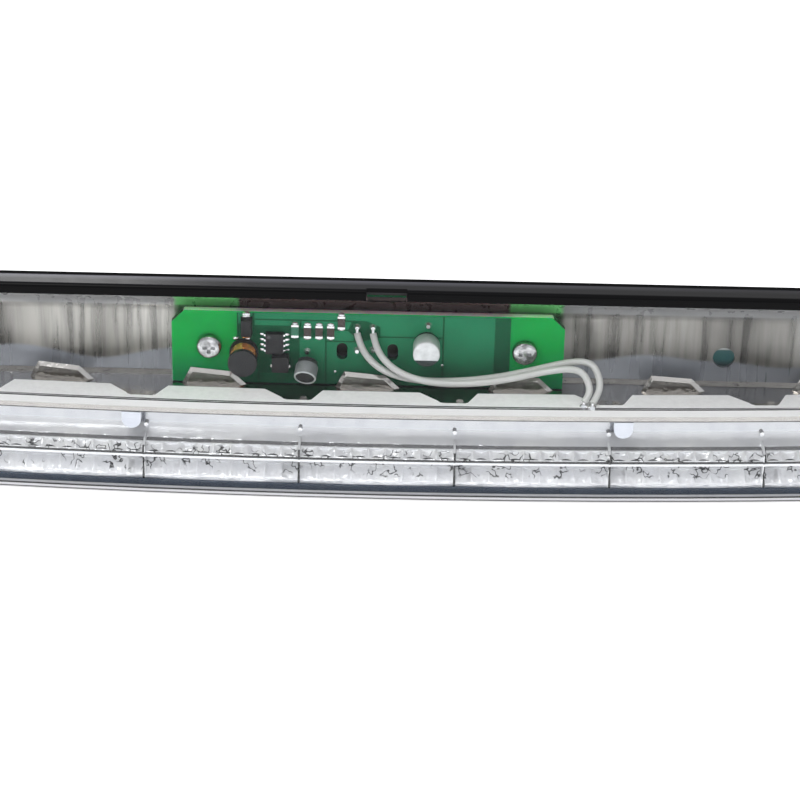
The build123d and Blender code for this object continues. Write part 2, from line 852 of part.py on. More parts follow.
small_can = can_capacitor(
    small_can_at, small_can_r, small_can_length, small_can_droop, small_can_swing
)
save(small_can, "input_capacitor")
save(can_capacitor(large_can_at, large_can_r, large_can_length), "output_capacitor")

# Chip resistors: three in a row and one for the bias
with BuildPart() as chip_resistors:
    with BuildSketch(face_plane(pcb_face)):
        with Locations((resistor_x, resistor_z)):
            with GridLocations(resistor_pitch, 0, 3, 1):
                Rectangle(chip_part_width, chip_part_length)
        with Locations(bias_resistor_at):
            Rectangle(chip_part_width, chip_part_length)
    extrude(amount=resistor_h)
save(chip_resistors, "chip_resistors")

with BuildPart() as ceramic_capacitor:
    with BuildSketch(face_plane(pcb_face)):
        with Locations(ceramic_at):
            Rectangle(chip_part_width, chip_part_length)
    extrude(amount=ceramic_h)
save(ceramic_capacitor, "ceramic_capacitor")

# Solder joints on both boards
lead_starts = [(lead_route_a[0][0], lead_pad_z), (lead_route_b[0][0], lead_pad_z)]
lead_ends = [(route[-1][0], front_y + route[-1][1]) for route in (lead_route_a, lead_route_b)]
led_board_top = deck_top + led_board_t
with BuildPart() as solder_joints:
    with BuildSketch(face_plane(pcb_face)):
        with Locations(solder_spots + lead_starts):
            Circle(solder_r)
    extrude(amount=solder_h, taper=30)
    with BuildSketch(Plane.XY.offset(led_board_top)):
        with Locations(lead_ends):
            Circle(solder_r)
    extrude(amount=solder_h / 2, taper=30)
save(solder_joints, "solder_joints")


def bend_radii(points):
    """Largest even bend at each inner point of a lead's route."""
    radii = []
    for before, corner, after in zip(points, points[1:], points[2:]):
        first = corner - before
        second = after - corner
        turn = math.radians(first.get_angle(second))
        radii.append(0.45 * min(first.length, second.length) / math.tan(turn / 2))
    return radii


def led_lead(route):
    """White lead along its route, as runs joined by tangent arcs."""
    points = [Vector(x, front_y + back, z) for x, back, z in route]
    radii = bend_radii(points)
    with BuildPart() as lead:
        with BuildLine() as path:
            FilletPolyline(*points, radius=radii)
        line = path.wire()
        with BuildSketch(Plane(origin=line @ 0, z_dir=line % 0)):
            Circle(lead_r)
        sweep(path=line)
    print("lead", round(line.length, 1), "bends", [round(radius, 1) for radius in radii])
    return lead


save(led_lead(lead_route_a), "led_lead_a")
save(led_lead(lead_route_b), "led_lead_b")

# Socket pins, through the back wall
with BuildPart() as socket_pins:
    with BuildSketch(face_plane(back_y + pin_reach)):
        with Locations((socket_x, socket_z)):
            with GridLocations(pin_span, 0, 2, 1):
                Rectangle(pin_t, pin_width)
    extrude(amount=pin_reach + housing_wall + pin_tail)
save(socket_pins, "socket_pins")

# Brass inserts in the mounting bosses
with BuildPart() as mount_inserts:
    with BuildSketch(face_plane(rear_y)):
        with Locations((-mount_span / 2, mount_z), (mount_span / 2, mount_z)):
            Circle(insert_r)
            Circle(insert_bore, mode=Mode.SUBTRACT)
    extrude(amount=insert_length)
save(mount_inserts, "mount_inserts")

# Rubber cap on the vent tube, slotted at its rim
with BuildPart() as vent_cap:
    with BuildSketch(face_plane(back_y + vent_height + vent_cap_wall)):
        with Locations((vent_x, vent_z)):
            Circle(vent_r + vent_cap_fit + vent_cap_wall)
    extrude(amount=vent_height + vent_cap_wall)
    with BuildSketch(face_plane(back_y + vent_height)):
        with Locations((vent_x, vent_z)):
            Circle(vent_r + vent_cap_fit)
    extrude(amount=vent_height, mode=Mode.SUBTRACT)
    with BuildSketch(face_plane(back_y + vent_slot)):
        with Locations((vent_x, vent_z)):
            Rectangle(vent_slot, 4 * vent_r)
            Rectangle(4 * vent_r, vent_slot)
    extrude(amount=vent_slot, mode=Mode.SUBTRACT)
    chamfer(vent_cap.edges().group_by(Axis.Y)[-1], vent_cap_wall / 2)
save(vent_cap, "vent_cap")


def supply_lead(points):
    """Insulated lead in the space behind the reflector, ending on the driver board."""
    with BuildPart() as lead:
        with BuildLine() as path:
            FilletPolyline(*points, radius=supply_turn)
        line = path.wire()
        with BuildSketch(Plane(origin=line @ 0, z_dir=line % 0)):
            Circle(supply_r)
        sweep(path=line)
    return lead


supply_y = (wall_y + wall_t + back_y - housing_wall) / 2
low_z = socket_z - supply_drop
upper_start = (socket_x - pin_span / 2 - pin_t / 2, supply_y, socket_z)
lower_start = (socket_x + pin_span / 2, supply_y, socket_z - pin_width / 2)
upper_supply = supply_lead(
    [upper_start, (supply_x, supply_y, socket_z), (supply_x, pcb_back, socket_z)]
)
lower_supply = supply_lead(
    [
        lower_start,
        (lower_start[0], supply_y, low_z),
        (supply_x, supply_y, low_z),
        (supply_x, pcb_back, low_z),
    ]
)
save(upper_supply, "supply_lead_a")
save(lower_supply, "supply_lead_b")
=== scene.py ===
import math

import bmesh
import bpy
from mathutils import Matrix, Vector


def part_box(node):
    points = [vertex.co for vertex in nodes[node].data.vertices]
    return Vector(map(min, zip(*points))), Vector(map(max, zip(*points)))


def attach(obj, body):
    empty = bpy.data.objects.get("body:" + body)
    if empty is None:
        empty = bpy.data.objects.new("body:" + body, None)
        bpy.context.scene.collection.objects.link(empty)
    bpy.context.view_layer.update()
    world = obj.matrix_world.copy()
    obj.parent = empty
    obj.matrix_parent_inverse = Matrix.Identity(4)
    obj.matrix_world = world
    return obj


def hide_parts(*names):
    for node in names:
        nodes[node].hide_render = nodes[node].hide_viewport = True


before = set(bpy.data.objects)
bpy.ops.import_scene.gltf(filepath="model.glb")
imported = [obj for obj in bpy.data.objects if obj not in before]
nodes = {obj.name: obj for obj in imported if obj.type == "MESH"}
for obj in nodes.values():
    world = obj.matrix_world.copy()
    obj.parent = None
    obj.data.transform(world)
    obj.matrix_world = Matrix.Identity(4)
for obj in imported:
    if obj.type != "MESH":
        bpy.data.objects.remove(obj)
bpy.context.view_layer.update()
MM = 0.001

# Photograph's frame and view
IMAGE_SIZE = 800
MM_PER_PIXEL = 0.22
CAMERA_ELEVATION = 28.0
CAMERA_ROLL = 1.27
LENS_MM = 120.0
SENSOR_MM = 36.0
TARGET_X = 4.84
TARGET_BACK = 8.0       # behind the lens front
TARGET_Z = 20.6

# Planes of the part, in millimetres
FRONT_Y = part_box("outer_lens")[0].y / MM
BOARD_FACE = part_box("driver_board")[0].y / MM
BOARD_LOW, BOARD_HIGH = [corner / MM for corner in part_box("driver_board")]
LED_BOARD_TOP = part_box("led_board")[1].z / MM
LED_BOARD_SET = 3.1     # its front edge behind the lens front
BOW_RADIUS = 1400.0     # of the lens front in plan

# Reflector bank: cells, the rib between its rows, its bowl and deck
CELL_PITCH = 34.4
RIB_LOW = 7.3
RIB_HIGH = 8.3
BOWL_LOW = 9.95
DECK_LOW = 18.4
HANGER_X = 54.2         # of the two hangers, left and right
HANGER_REACH = 2.6      # each way from that, where the bowl is painted with the hanger's shadow
SEAM = 0.0368           # over which a joint turns dark
LOWER_ROW = (3.2, 3.5, 7.2, RIB_LOW)        # where strokes begin, are full, and end
UPPER_ROW = (RIB_HIGH, 8.35, 9.0, 9.4)
LEDGE = (9.8, 9.86, 9.97, 10.05)            # painted shade line along the foot of the bowl

# Tones by place, each from one end of a change to the other
RIM_HIGHLIGHT_BAND = (8.8, 14.0)      # painted highlight band on the rim, behind the lens front
RIM_HIGHLIGHT_FADE = (-30, 80)        # painted highlight fading along the lamp
TOE_EDGE = (4.0, 5.0)       # of the toe painted slate as a sky reflection, behind the front and above the base
LIP_EDGE = (0.75, 0.9)      # top of the lens's ground lip
LENS_TOP = 45.4
LENS_IOR = 1.22
WALL_PAINTED_SHADE = (-80, 80)       # painted shade along the lamp, darker to the right
COVE = (35.6, 38.6)         # bend at the top of the back wall, painted with the board's reflection
FOOT_EDGE = (29.6, 30.4)    # top of the wall's pale foot, painted as the LED board's reflection, with the sway added
FOOT_SWAY = 9.0
LED_BORDER = (0.56, 0.64)   # width of the painted shade line along the LED board's front
MASK_SPECULAR = 0.06        # of solder mask under the lens
PLUG_RADIUS = 2.45          # of the plug's seen face
GRAIN_DEPTH = 0.1 * MM

# Built meshes: edges over this angle are sharp, points within this distance are one
SHARP_ANGLE = 40
WELD = 0.001 * MM

# Colour sockets of a Mix node
MIX_A, MIX_B, MIX_RESULT = 6, 7, 2

# White leads: (x, behind the front, z), as in the part's source
LEAD_RADIUS = 0.75
LEAD_ROUTES = {
    "led_lead_a": [
        (-4.9, 14.8, 33.5), (-4.2, 13.9, 30.9), (-2.2, 13.0, 28.0), (0.9, 12.5, 25.5),
        (5.3, 12.3, 23.9), (11.0, 12.4, 23.2), (18.0, 12.6, 23.3), (25.5, 12.6, 24.3),
        (33.0, 12.4, 26.2), (39.4, 11.9, 28.4), (44.0, 11.3, 29.6), (46.8, 10.5, 29.4),
        (48.2, 9.3, 27.4), (48.6, 7.9, 25.3), (48.0, 6.3, 23.7), (46.9, 4.8, 22.6),
    ],
    "led_lead_b": [
        (-1.4, 14.8, 33.5), (-0.8, 13.7, 31.0), (1.0, 12.3, 28.3), (4.1, 11.0, 26.1),
        (8.6, 10.3, 24.5), (14.5, 10.2, 23.7), (21.5, 10.4, 23.9), (29.0, 10.4, 25.2),
        (36.0, 10.1, 27.3), (41.6, 9.5, 28.6), (44.5, 8.7, 28.3), (45.8, 7.8, 26.6),
        (46.3, 6.9, 24.9), (45.9, 6.0, 23.5), (45.0, 5.2, 22.6),
    ],
}
LEAD_PAD_Z = 34.4
LEAD_PAD_RISE = 0.5     # of a strand's end before the driver board
LED_PAD_RISE = 0.1      # and above the LED board
STRAND_RADIUS = 0.4
STRAND_LAP = 0.2        # share of a strand that is inside its lead

# Copper under the green mask: the dark field, the pours on it and the slots cut through both
FIELD_LEFT = -31.4
FIELD_RIGHT = 28.9
POUR_RIGHT = 25.4
FIELD_EDGE = 0.35       # bare strip along the board's top
FIELD_FOOT = 0.05       # and along its foot
FIELD_LIFT = 0.02
POUR_LIFT = 0.05
SLOT_SPOTS = [(-8.2, 28.4), (3.0, 28.4)]
SLOT_REACH = (1.22, 2.02)
BOARD_T = 1.6

# Small parts on the driver board, by (x, z); chip parts with their heights
CHIP_PARTS = [
    (-15.85, 33.2, 0.6), (-13.3, 33.2, 0.6), (-10.75, 33.2, 0.6), (-8.4, 35.6, 0.6),
    (-18.6, 33.6, 1.2),
]
CHIP_PART_SIZE = (1.6, 3.1)
CHIP_CAP = 0.58         # length of a tinned end
CHIP_CAP_SET = 0.25     # its middle, in from the part's end
CHIP_CAP_SKIN = 0.05    # its face, before the part's
CHIP_AT = (-23.1, 30.4)
CHIP_FEET = 3.0         # each way from the middle, as for the parts below
CHIP_FOOT_PITCH = 1.27
CHIP_FACE = 1.5
CHIP_MARK_AT = (-24.3, 32.1)
DIODE_AT = (-29.3, 34.3)
DIODE_FEET = 2.7
CHOKE_FOOT_AT = (-21.8, 24.4)
CHOKE_FEET = 1.9
INDUCTOR_FOOT_AT = (-30.4, 31.2)
INDUCTOR_FEET = 1.3
VIAS = [(-9.7, 23.3), (14.0, 25.4)]
VIA_RADIUS = 0.3
WINDING_WIRE = 0.2      # radius

# Output capacitor, and how far below its middle the dark segment begins
LARGE_CAN_AT = (10.4, 31.0)
LARGE_CAN_RADIUS = 2.95
LARGE_CAN_HEIGHT = 6.2
LARGE_CAN_FACE = 2.7    # radius of its flat end
LARGE_CAN_CHORD = 1.37

# Input capacitor: foot on the board, and how its bent wires let it lean
SMALL_CAN_AT = (-15.7, 26.2)
SMALL_CAN_DROOP = 30.0
SMALL_CAN_SWING = 8.0
SMALL_CAN_LIFT = 1.25

# Studio: light by height (counted up and half as much towards the back), the floor and the lamps
STUDIO_LOW = -0.5
STUDIO_HIGH = 1.0
STUDIO = [
    (-0.5, (0.80, 0.81, 0.84)), (-0.2, (0.82, 0.83, 0.86)),
    (0.03, (0.84, 0.86, 0.89)), (0.22, (0.98, 0.98, 1.0)),
]
FLOOR_SIZE = 6.0
FLOOR_DROP = 0.0003
FLOOR_GLOW = 0.3
LAMPS = {
    "key": ((-0.35, -0.5, 1.1), (0, 0, 0.02), (0.6, 0.6), 4.5),
    "back": ((-0.62, 1.45, 0.85), (0, 0, 0.04), (0.9, 0.5), 6.0),
}


def srgb(red, green, blue):
    """Linear colour of one written in 8-bit steps."""
    shares = [value / 255 for value in (red, green, blue)]
    return tuple(s / 12.92 if s <= 0.04045 else ((s + 0.055) / 1.055) ** 2.4 for s in shares)


def scaled(color, factor):
    return tuple(min(1.0, channel * factor) for channel in color)


def new_material(name, color, roughness, metallic=0.0):
    """A material with its Principled shader, ready for more nodes."""
    made = bpy.data.materials.new(name)
    made.use_nodes = True
    shader = shader_of(made)
    shader.inputs["Base Color"].default_value = (*color, 1.0)
    shader.inputs["Roughness"].default_value = roughness
    shader.inputs["Metallic"].default_value = metallic
    return made


def shader_of(made):
    return made.node_tree.nodes["Principled BSDF"]


def grey(value):
    return (value, value, value)


def feed(made, socket, source):
    """Sets a socket to a number or a colour, or links another socket to it."""
    if isinstance(source, float):
        socket.default_value = source
    elif isinstance(source, tuple):
        socket.default_value = (*source, 1.0)
    else:
        made.node_tree.links.new(source, socket)


def add_noise(made, scale, detail=3.0, stretch=(1, 1, 1), shear=0.0):
    """Noise in the object's own coordinates, stretched by axis. Returns its value socket."""
    tree = made.node_tree
    place = tree.nodes.new("ShaderNodeTexCoord")
    mapping = tree.nodes.new("ShaderNodeMapping")
    mapping.inputs["Scale"].default_value = stretch
    mapping.inputs["Rotation"].default_value = (0.0, shear, 0.0)
    noise = tree.nodes.new("ShaderNodeTexNoise")
    noise.inputs["Scale"].default_value = scale
    noise.inputs["Detail"].default_value = detail
    tree.links.new(place.outputs["Object"], mapping.inputs["Vector"])
    tree.links.new(mapping.outputs["Vector"], noise.inputs["Vector"])
    return noise.outputs["Fac"]


def fill_ramp(node, stops):
    """Sets the stops of a colour ramp; a number in place of a colour is a grey."""
    while len(node.color_ramp.elements) < len(stops):
        node.color_ramp.elements.new(0.5)
    for element, (position, color) in zip(node.color_ramp.elements, stops):
        element.position = position
        element.color = (*(color if isinstance(color, tuple) else grey(color)), 1.0)


def ramp(made, value, stops, target=None):
    """Maps a value through colour stops, into a socket of the shader if one is named."""
    tree = made.node_tree
    node = tree.nodes.new("ShaderNodeValToRGB")
    fill_ramp(node, stops)
    tree.links.new(value, node.inputs["Fac"])
    if target:
        tree.links.new(node.outputs["Color"], shader_of(made).inputs[target])
    return node.outputs["Color"]


def calculate(made, operation, *terms):
    """Result of one sum; each term is a number or a socket."""
    node = made.node_tree.nodes.new("ShaderNodeMath")
    node.operation = operation
    for socket, term in zip(node.inputs, terms):
        feed(made, socket, term)
    return node.outputs[0]


def add_bump(made, value, strength, distance):
    """Relief from a value; its strength is a number or a socket."""
    tree = made.node_tree
    bump = tree.nodes.new("ShaderNodeBump")
    feed(made, bump.inputs["Strength"], strength)
    bump.inputs["Distance"].default_value = distance
    tree.links.new(value, bump.inputs["Height"])
    tree.links.new(bump.outputs["Normal"], shader_of(made).inputs["Normal"])


def blend_colors(made, factor, first, second, target=None, mode="MIX"):
    """Mixes two colours by a factor; each of them is fixed or a socket."""
    tree = made.node_tree
    mix = tree.nodes.new("ShaderNodeMix")
    mix.data_type = "RGBA"
    mix.blend_type = mode
    feed(made, mix.inputs["Factor"], factor)
    feed(made, mix.inputs[MIX_A], first)
    feed(made, mix.inputs[MIX_B], second)
    if target:
        tree.links.new(mix.outputs[MIX_RESULT], shader_of(made).inputs[target])
    return mix.outputs[MIX_RESULT]


def multiply(made, first, second, target=None):
    """Product of two colours."""
    return blend_colors(made, 1.0, first, second, target, "MULTIPLY")


def axis_of(made, kind, axis):
    """X, Y or Z of the object's coordinates or of the surface normal."""
    tree = made.node_tree
    split = tree.nodes.new("ShaderNodeSeparateXYZ")
    if kind == "normal":
        source = tree.nodes.new("ShaderNodeNewGeometry").outputs["Normal"]
    else:
        source = tree.nodes.new("ShaderNodeTexCoord").outputs["Object"]
    tree.links.new(source, split.inputs[0])
    return split.outputs[axis]


def span(made, value, low, high):
    """A value as a share of the way from low to high."""
    tree = made.node_tree
    node = tree.nodes.new("ShaderNodeMapRange")
    node.inputs["From Min"].default_value = low
    node.inputs["From Max"].default_value = high
    tree.links.new(value, node.inputs["Value"])
    return node.outputs["Result"]


def span_mm(made, value, low, high):
    """The same share, between two places in millimetres."""
    return span(made, value, low * MM, high * MM)


def behind_front(made):
    """Distance behind the bowed lens front, in plan."""
    tree = made.node_tree
    flat = tree.nodes.new("ShaderNodeVectorMath")
    flat.operation = "MULTIPLY_ADD"
    flat.inputs[1].default_value = (1.0, 1.0, 0.0)
    flat.inputs[2].default_value = (0.0, -(FRONT_Y + BOW_RADIUS) * MM, 0.0)
    reach = tree.nodes.new("ShaderNodeVectorMath")
    reach.operation = "LENGTH"
    place = tree.nodes.new("ShaderNodeTexCoord")
    tree.links.new(place.outputs["Object"], flat.inputs[0])
    tree.links.new(flat.outputs["Vector"], reach.inputs[0])
    return calculate(made, "SUBTRACT", BOW_RADIUS * MM, reach.outputs["Value"])


def finish(name, color, roughness, metallic=0.0, scale=700.0, tint=0.12, relief=0.06):
    """Moulded or metal surface: slight mottling in colour and gloss, and a fine grain."""
    made = new_material(name, color, roughness, metallic)
    mottle = add_noise(made, scale)
    shades = [(0.3, scaled(color, 1 - tint)), (0.7, scaled(color, 1 + tint))]
    ramp(made, mottle, shades, "Base Color")
    ramp(made, mottle, [(0.3, roughness * 0.85), (0.7, roughness * 1.15)], "Roughness")
    add_bump(made, add_noise(made, scale * 4), relief, GRAIN_DEPTH)
    return made


def paint(node, made):
    """Gives a CAD node one material."""
    slots = nodes[node].data.materials
    slots.clear()
    slots.append(made)


def on_board(x, z, height):
    """Point on the driver board, `height` in front of its face."""
    return Vector((x, BOARD_FACE - height, z)) * MM


def add_piece(name, bm, slot, *finishes):
    """Turns built faces into a piece that rides with the lamp."""
    bmesh.ops.recalc_face_normals(bm, faces=bm.faces)
    mesh = bpy.data.meshes.new(name)
    bm.to_mesh(mesh)
    bm.free()
    mesh.shade_smooth()
    mesh.set_sharp_from_angle(angle=math.radians(SHARP_ANGLE))
    for made in finishes:
        mesh.materials.append(made)
    piece = bpy.data.objects.new(name, mesh)
    bpy.context.scene.collection.objects.link(piece)
    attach(piece, "root")
    return piece


def bridge(bm, rings, material=0):
    """Quads between rings of points that have the same count."""
    for low, high in zip(rings, rings[1:]):
        count = len(low)
        for i in range(count):
            after = (i + 1) % count
            face = bm.faces.new((low[i], low[after], high[after], high[i]))
            face.material_index = material


def plate(bm, outline, low, high, material=0):
    """Flat plate over an outline of (x, z) points on the driver board."""
    rings = [[bm.verts.new(on_board(x, z, level)) for x, z in outline] for level in (low, high)]
    bridge(bm, rings, material)
    for ring in rings:
        bm.faces.new(ring).material_index = material


def sheet(name, outlines, low, high, slot, made):
    """Thin sheet along the driver board; an outline inside another is a hole."""
    data = bpy.data.curves.new(name, "CURVE")
    data.dimensions = "2D"
    data.fill_mode = "BOTH"
    data.extrude = (high - low) / 2 * MM
    for outline in outlines:
        spline = data.splines.new("POLY")
        spline.points.add(len(outline) - 1)
        for point, (x, z) in zip(spline.points, outline):
            point.co = (x * MM, z * MM, 0.0, 1.0)
        spline.use_cyclic_u = True
    draft = bpy.data.objects.new(name + "_draft", data)
    mesh = bpy.data.meshes.new_from_object(draft)
    bpy.data.objects.remove(draft)
    upright = Matrix.Rotation(math.radians(90), 4, "X")
    mesh.transform(Matrix.Translation(on_board(0, 0, (low + high) / 2)) @ upright)
    bm = bmesh.new()
    bm.from_mesh(mesh)
    bpy.data.meshes.remove(mesh)
    return add_piece(name, bm, slot, made)


def block(bm, place, size, low, high, edge, material=0):
    """Small block on the board with its front edges broken."""
    rings = []
    for level, inset in ((low, 0.0), (high - edge, 0.0), (high, edge)):
        wide = size[0] / 2 - inset
        tall = size[1] / 2 - inset
        corners = ((-wide, -tall), (wide, -tall), (wide, tall), (-wide, tall))
        spots = [(place[0] + x, place[1] + z) for x, z in corners]
        rings.append([bm.verts.new(on_board(x, z, level)) for x, z in spots])
    bridge(bm, rings, material)
    bm.faces.new(rings[0]).material_index = material
    bm.faces.new(rings[-1]).material_index = material


def full_turn(sides):
    """Angles once round."""
    return [2 * math.pi * i / sides for i in range(sides)]


def lathe(bm, place, profile, sides=48, stretch=1.0, material=0, ends=(True, True)):
    """Turned form on the board from (radius, height) pairs; stretch widens it along z."""
    rings = []
    for radius, height in profile:
        spots = [
            (place[0] + radius * math.cos(turn), place[1] + stretch * radius * math.sin(turn))
            for turn in full_turn(sides)
        ]
        rings.append([bm.verts.new(on_board(x, z, height)) for x, z in spots])
    bridge(bm, rings, material)
    for ring, closed in zip((rings[0], rings[-1]), ends):
        if closed:
            bm.faces.new(ring).material_index = material


def mound(bm, place, radius, height, stretch=1.0, material=0):
    """Rounded blob of solder on the board."""
    steps = 6
    turns = [0.5 * math.pi * i / steps for i in range(steps)]
    profile = [(radius * math.cos(turn), height * math.sin(turn)) for turn in turns]
    lathe(bm, place, [*profile, (radius * 0.08, height)], 20, stretch, material)


def rod(bm, start, end, radius, sides=14):
    """Round-ended rod between two points in metres."""
    along = (end - start).normalized()
    across = along.orthogonal().normalized()
    side = along.cross(across)
    reach = (end - start).length
    rings = []
    for share, size in ((0.0, 0.7), (0.08, 1.0), (0.92, 1.0), (1.0, 0.7)):
        middle = start + along * reach * share
        rings.append([
            bm.verts.new(middle + radius * size * (across * math.cos(turn) + side * math.sin(turn)))
            for turn in full_turn(sides)
        ])
    bridge(bm, rings)
    bm.faces.new(rings[0])
    bm.faces.new(rings[-1])


def black_moulding():
    """Black plastic: a painted highlight on the rim where it looks up, fading along the lamp, and a
    toe painted slate as a sky reflection seen through the lens.
    """
    made = finish("black_moulding", srgb(9, 9, 10), 0.2, scale=260.0, relief=0.03)
    black = srgb(7, 7, 8)
    # painted highlight: a grey band on the rim's upward faces, fading along the lamp, for the back
    # lamp's reflection
    highlight_grey = srgb(98, 98, 106)
    up = span(made, axis_of(made, "normal", 2), 0.86, 0.98)
    low, high = (FRONT_Y + edge for edge in RIM_HIGHLIGHT_BAND)
    back = span_mm(made, axis_of(made, "object", 1), low, high)
    rim_highlight = ramp(made, back, [
        (0.06, srgb(18, 18, 21)), (0.58, highlight_grey), (0.8, highlight_grey), (1.0, srgb(14, 14, 16)),
    ])
    along = span_mm(made, axis_of(made, "object", 0), *RIM_HIGHLIGHT_FADE)
    faded_highlight = multiply(made, rim_highlight, ramp(made, along, [(0.0, 1.0), (1.0, 0.2)]))
    body = blend_colors(made, up, black, faded_highlight)
    # painted reflection: the toe turns slate, standing in for the sky seen in the lens over the
    # black floor
    toe = span_mm(made, behind_front(made), *TOE_EDGE)
    toe_sky_reflection = ramp(made, toe, [(0.0, srgb(70, 78, 90)), (1.0, black)])
    above = span_mm(made, axis_of(made, "object", 2), *TOE_EDGE)
    blend_colors(made, above, toe_sky_reflection, body, "Base Color")
    shader_of(made).inputs["Specular IOR Level"].default_value = 0.08
    return made


def clear_moulding():
    """Clear plastic: a white ground lip, with painted shade as a dark line at its very foot and
    along its top edge in the rim's groove.
    """
    clear = (0.98, 0.99, 1.0)
    ground_white = srgb(238, 238, 241)
    made = new_material("clear_moulding", clear, 0.0)
    height = axis_of(made, "object", 2)
    ground = span_mm(made, height, *LIP_EDGE)
    ramp(made, ground, [(0.0, 0.2), (1.0, 1.0)], "Transmission Weight")
    share = span_mm(made, height, 0.0, LENS_TOP)
    # painted shade: near-black at the lens's very foot, for its contact shadow, and along its top
    # edge, where the rim's groove shades it
    ramp(made, share, [
        (0.005, 0.1), (0.007, ground_white), (0.016, ground_white),
        (0.02, clear), (0.99, clear), (1.0, 0.1),
    ], "Base Color")
    shader_of(made).inputs["IOR"].default_value = LENS_IOR
    add_bump(made, add_noise(made, 60), 0.02, 0.2 * MM)
    return made


def streaked_chrome():
    """Metallised wall: patches and fine streaks, painted shade darkening it towards the right, a
    cove painted with the board's reflection, and a pale foot painted as the LED board's reflection.
    """
    made = new_material("streaked_chrome", grey(0.7), 0.2, 1.0)
    height = axis_of(made, "object", 2)
    along = axis_of(made, "object", 0)
    broad = add_noise(made, 55, 2.0, (1, 1, 0.22), 0.2)
    fine = add_noise(made, 420, 4.0, (1, 1, 0.06), 0.2)
    patches = ramp(made, broad, [
        (0.30, srgb(132, 129, 124)), (0.46, srgb(172, 169, 163)),
        (0.56, srgb(196, 193, 186)), (0.72, srgb(228, 225, 218)),
    ])
    streaks = ramp(made, fine, [(0.34, 0.42), (0.5, 0.82), (0.62, 1.0)])
    # painted shade: the wall darkens towards the right end
    fade = ramp(made, span_mm(made, along, *WALL_PAINTED_SHADE), [(0.0, 0.84), (0.75, 0.88), (1.0, 0.46)])
    drawn = multiply(made, multiply(made, patches, streaks), fade)

    # painted reflection: the cove shows the board's back, green at its ends and brown over the
    # copper; beyond the board it is painted grey shade
    green = (0.25, 0.85, 0.28)
    brown = (0.14, 0.085, 0.08)
    wide = BOARD_HIGH.x - BOARD_LOW.x
    left, right = ((edge - BOARD_LOW.x) / wide for edge in (FIELD_LEFT, FIELD_RIGHT))
    painted_board_reflection = ramp(made, span_mm(made, along, BOARD_LOW.x, BOARD_HIGH.x), [
        (0.0, 0.4), (0.01, green), (left, green), (left + 0.005, brown),
        (right - 0.005, brown), (right, green), (0.99, green), (1.0, 0.4),
    ])
    bend = ramp(made, span_mm(made, height, *COVE), [(0.0, 0.0), (0.3, 0.3), (0.45, 1.0)])
    shaded = blend_colors(made, bend, drawn, painted_board_reflection)

    # painted reflection: a pale bluish foot with a wavy top stands in for the LED board mirrored in
    # the wall
    wave = add_noise(made, 40, 0.0, (1, 0, 0))
    swayed = calculate(made, "MULTIPLY_ADD", wave, FOOT_SWAY * MM, height)
    foot = span_mm(made, swayed, *FOOT_EDGE)
    painted_foot_reflection = multiply(made, srgb(186, 190, 198), fade)
    blend_colors(made, foot, painted_foot_reflection, shaded, "Base Color")
    dull = ramp(made, bend, [(0.0, 1.0), (1.0, 0.2)])
    coat = ramp(made, foot, [(0.0, 0.45), (1.0, 1.0)])
    multiply(made, dull, coat, "Metallic")
    ramp(made, fine, [(0.3, 0.24), (0.7, 0.36)], "Roughness")
    add_bump(made, broad, 0.25, 1.6 * MM)
    return made


